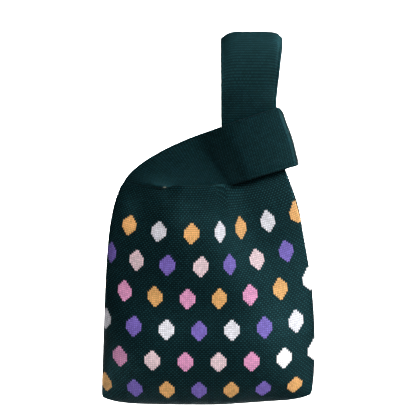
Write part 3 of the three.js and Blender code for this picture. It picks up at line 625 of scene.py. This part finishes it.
def dots(tree, wale, course):
    """Rows of stepped dots, worked out stitch by stitch: whether a stitch is in a dot, and its yarn."""
    first_course, first_wale = 5, 46  # the corner of the field that dot 0 of the bottom row lies in
    lift = add(tree, "ShaderNodeMath", {0: course, 1: first_course}, operation="SUBTRACT")
    rows_up = add(tree, "ShaderNodeMath", {0: lift, 1: DOT_COURSES}, operation="DIVIDE")
    row = add(tree, "ShaderNodeMath", {0: rows_up}, operation="FLOOR")
    odd_row = add(tree, "ShaderNodeMath", {0: row, 1: 2.0}, operation="FLOORED_MODULO")
    moved = add(tree, "ShaderNodeMath", {0: odd_row, 1: DOT_SHIFT, 2: wale}, operation="MULTIPLY_ADD")
    shift = add(tree, "ShaderNodeMath", {0: moved, 1: first_wale}, operation="SUBTRACT")
    fields = add(tree, "ShaderNodeMath", {0: shift, 1: DOT_WALES}, operation="DIVIDE")
    field = add(tree, "ShaderNodeMath", {0: fields}, operation="FLOOR")
    in_row = add(tree, "ShaderNodeMath", {0: lift, 1: DOT_COURSES}, operation="FLOORED_MODULO")
    in_field = add(tree, "ShaderNodeMath", {0: shift, 1: DOT_WALES}, operation="FLOORED_MODULO")
    rise = add(tree, "ShaderNodeMath", {0: in_row, 1: (DOT_COURSES - 1) / 2}, operation="SUBTRACT")
    run = add(tree, "ShaderNodeMath", {0: in_field, 1: DOT_WALES / 2}, operation="SUBTRACT")
    rise = add(tree, "ShaderNodeMath", {0: rise}, operation="ABSOLUTE")
    run = add(tree, "ShaderNodeMath", {0: run}, operation="ABSOLUTE")
    # A dot is ten courses tall: 2, 4, 6, 8, 8, 8, 8, 6, 4 and 2 stitches.
    slant = add(tree, "ShaderNodeMath", {0: rise, 1: run}, operation="ADD")
    inside = add(tree, "ShaderNodeMath", {0: slant, 1: DOT_SLANT}, operation="LESS_THAN")
    narrow = add(tree, "ShaderNodeMath", {0: run, 1: DOT_HALF}, operation="LESS_THAN")
    inside = add(tree, "ShaderNodeMath", {0: inside, 1: narrow}, operation="MULTIPLY")
    above = add(tree, "ShaderNodeMath", {0: row, 1: -0.5}, operation="GREATER_THAN")
    below = add(tree, "ShaderNodeMath", {0: row, 1: len(DOT_ROWS) - 0.5}, operation="LESS_THAN")
    inside = add(tree, "ShaderNodeMath", {0: inside, 1: above}, operation="MULTIPLY")
    inside = add(tree, "ShaderNodeMath", {0: inside, 1: below}, operation="MULTIPLY")
    odd_dot = add(tree, "ShaderNodeMath", {0: field, 1: 2.0}, operation="FLOORED_MODULO")
    yarn = linear(WHITE)
    for number, (even, odd, white_from) in enumerate(DOT_ROWS):
        pair = {0: odd_dot, 6: linear(even), 7: linear(odd)}
        pair = add(tree, "ShaderNodeMix", pair, out=2, data_type="RGBA")
        white = add(tree, "ShaderNodeMath", {0: field, 1: white_from - 0.5}, operation="GREATER_THAN")
        pair = add(tree, "ShaderNodeMix", {0: white, 6: pair, 7: linear(WHITE)}, out=2, data_type="RGBA")
        here = add(tree, "ShaderNodeMath", {0: row, 1: number, 2: 0.5}, operation="COMPARE")
        yarn = add(tree, "ShaderNodeMix", {0: here, 6: yarn, 7: pair}, out=2, data_type="RGBA")
    return inside, yarn


def thread(name, colour, fibre):
    """Twisted yarn or thread: round plies, dull, with fine fibres along the twist."""
    material = bpy.data.materials.new(name)
    material.use_nodes = True
    tree = material.node_tree
    tree.nodes.clear()
    where = add(tree, "ShaderNodeTexCoord", out="Object")
    # The noise is per metre, so fibre is the size of one fleck in millimetres.
    flecks = add(tree, "ShaderNodeTexNoise", {"Vector": where, "Scale": 1000 / fibre, "Detail": 3.0})
    tone = add(tree, "ShaderNodeMapRange", {0: flecks, 1: 0.25, 2: 0.75, 3: 0.7, 4: 1.2})
    tint = add(tree, "ShaderNodeVectorMath", {0: linear(colour)[:3], "Scale": tone}, operation="SCALE")
    bump = add(tree, "ShaderNodeBump", {"Height": flecks, "Distance": 0.0002, "Strength": 0.6})
    surface = {"Base Color": tint, "Roughness": 0.9, "IOR": 1.49, "Normal": bump}
    surface["Specular IOR Level"] = 0.05
    shader = add(tree, "ShaderNodeBsdfPrincipled", surface)
    add(tree, "ShaderNodeOutputMaterial", {"Surface": shader}, out=None)
    return material


dotted_knit = knit("dotted_jacquard_knit", True)
plain_knit = knit("plain_jacquard_knit", False)
linking_yarn = thread("acrylic_linking_yarn", "#122A2D", 0.5)
tack_thread = thread("polyester_tack_thread", "#70776D", 0.3)


def finish_piece(obj, material, slot, *nodes):
    obj.data.materials.append(material)
    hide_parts(*nodes)


def metres(*mm):
    return tuple((np.array(mm, float) - HOLD) / 1000)


# Panels
for side, where in ((-1, "front"), (1, "back")):
    sheet = panel_sheet(side)
    panel, face, normal = cloth(f"{where}_panel_knit", *sheet, selvage=False, inner_step=2, flip=-side)
    finish_piece(panel, dotted_knit, "ground_knit", f"{where}_panel")
    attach(panel, "bag")
    # The left tack holds down the edge of the loop too, so it lies on top of that.
    for end, spot, lift in (("left", NECK_LEFT + [2, 0.5], 2.0), ("right", HORN + [2.5, -12], 0.3)):
        flat = face[..., [0, 2]] - spot
        j, i = np.unravel_index(np.argmin(np.sum(flat**2, -1)), flat.shape[:2])
        out = normal[j, i]
        along = np.linspace(-TACK_HALF, TACK_HALF, TACK_STEPS)[:, None] * [1.0, 0.0, 0.0]
        bar = face[j, i] + out * lift + along
        tack = yarn_seam(f"{where}_{end}_tack", bar, np.tile(out, (TACK_STEPS, 1)), *TACK)
        finish_piece(tack, tack_thread, "tack_thread", f"{where}_{end}_bar_tack")
        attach(tack, "bag")

# Linked seams between the panels
seams = {
    "left_side": (left_edge(np.linspace(CORNER_RISE + 1, SHOULDER[1] - 2, 300)), -1),
    "right_side": (right_edge(np.linspace(CORNER_RISE + BOTTOM_TILT + 1, HEEL[1] - 2, 300)), 1),
    "bottom": (bottom_edge(np.linspace(0.04, 0.96, 300)), 1),
}
for name, (flat, turn) in seams.items():
    level = np.zeros(len(flat))
    way = np.gradient(flat, axis=0)
    out = np.stack([turn * way[:, 1], level, -turn * way[:, 0]], -1)
    path = np.stack([flat[:, 0], level, flat[:, 1]], -1)
    seam = yarn_seam(f"{name}_linked_seam", path, out, *PANEL_LINK)
    finish_piece(seam, linking_yarn, "link_yarn", f"{name}_seam")
    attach(seam, "bag")

# Long handle
handle_grid = handle_sheet()
handle, face, normal = cloth("long_handle_knit", *handle_grid, selvage=True, inner_step=1, flip=1)
finish_piece(handle, plain_knit, "ground_knit", "long_handle_front", "long_handle_back")
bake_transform(handle)
row = int(np.argmin(np.abs(handle_grid[2][:, 0] * STRAP_COURSE - HANDLE_SEAM_AT)))
seam = strap_seam("long_handle_linked_seam", face[row], normal[row])
finish_piece(seam, linking_yarn, "link_yarn", "long_handle_seam")
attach(seam, "long_handle")

# Short loop
loop, face, normal = cloth("short_loop_knit", *loop_sheet(), selvage=True, inner_step=1, flip=-1)
loop_nodes = ("short_loop_front_arm", "short_loop_front", "short_loop_back", "short_loop_back_arm")
finish_piece(loop, plain_knit, "ground_knit", *loop_nodes)
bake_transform(loop)
row = 2 * round(ARM_LENGTH / STRAP_COURSE) + int(2 * LOOP_SEAM_AT / STRAP_COURSE)
seam = strap_seam("short_loop_linked_seam", face[row], normal[row])
finish_piece(seam, linking_yarn, "link_yarn", "short_loop_seam")
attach(seam, "short_loop")


def paper_sweep():
    """Matt white paper well below and behind the hanging bag: floor, curve and wall."""
    floor_z, wall_y, radius = -700.0, 2600.0, 500.0
    near_y, top_z, half = -3500.0, 3500.0, 4000.0
    bend = np.linspace(0, np.pi / 2, 25)
    y = np.concatenate([[near_y, wall_y - radius], wall_y - radius + radius * np.sin(bend[1:]), [wall_y]])
    z = np.concatenate([[floor_z, floor_z], floor_z + radius * (1 - np.cos(bend[1:])), [top_z]])
    verts = np.array([[x, b, c] for b, c in zip(y, z) for x in (-half, half)])
    faces = [[2 * k, 2 * k + 1, 2 * k + 3, 2 * k + 2] for k in range(len(y) - 1)]
    sweep = solid("paper_sweep", verts, faces)
    material = bpy.data.materials.new("matt_white_paper")
    material.use_nodes = True
    shader = material.node_tree.nodes["Principled BSDF"]
    shader.inputs["Base Color"].default_value = linear("#F7F7F7")
    shader.inputs["Roughness"].default_value = 0.95
    sweep.data.materials.append(material)


paper_sweep()


def softbox(name, at, aim, size, power, spread):
    """A round soft light that is turned to what it is aimed at."""
    light = bpy.data.lights.new(name, "AREA")
    light.shape, light.size, light.energy, light.spread = "DISK", size, power, math.radians(spread)
    lamp = bpy.data.objects.new(name, light)
    lamp.location = at
    lamp.rotation_euler = (Vector(aim) - Vector(at)).to_track_quat("-Z", "Y").to_euler()
    bpy.context.scene.collection.objects.link(lamp)


middle = Vector(metres(0, 0, 190))
# Each light: where it stands from the middle of the bag and what it is aimed at, in metres, then its
# size, its watts and its spread in degrees. The narrow ones lift one part of the bag each.
lights = (
    ("key", (1.5, -0.87, 1.0), metres(50, 0, 130), 0.8, 4.7, 45),
    ("fill", (-1.4, -0.8, -0.7), metres(-90, 0, 0), 0.3, 0.12, 16),
    ("top", (0.9, -1.2, 1.2), metres(20, 0, 398), 0.1, 0.018, 5),
    ("loop", (1.5, -0.87, 1.0), metres(-25, 0, 246), 0.1, 0.026, 4),
    ("low", (1.35, -0.85, -0.6), metres(30, 0, -30), 0.3, 0.16, 16),
)
for name, stand, aim, size, power, spread in lights:
    softbox(name, middle + Vector(stand), Vector(aim), size, power, spread)
for side in (-1, 1):
    stand, aim = Vector((1.5 * side, 1.6, 0.9)), Vector((0.2 * side, 2.6, 0.0))
    softbox("wall", middle + stand, middle + aim, 0.6, 60, 75)
world = bpy.data.worlds.new("studio")
world.use_nodes = True
world.node_tree.nodes["Background"].inputs["Color"].default_value = (1.0, 1.0, 1.0, 1.0)
world.node_tree.nodes["Background"].inputs["Strength"].default_value = 0.1
bpy.context.scene.world = world
bpy.context.scene.view_settings.view_transform = "Standard"

# The photograph's view: level, straight on, from far enough to look flat.
camera = bpy.data.objects.new("camera", bpy.data.cameras.new("camera"))
frame_width, frame_away = 431.8, 1890.0  # the picture is this wide at this distance
camera.location = metres(1.1, -1900, 201.9)
camera.rotation_euler = (math.pi / 2, 0, 0)
camera.data.sensor_width = 36
camera.data.lens = camera.data.sensor_width * frame_away / frame_width
bpy.context.scene.collection.objects.link(camera)
bpy.context.scene.camera = camera

bpy.context.view_layer.update()
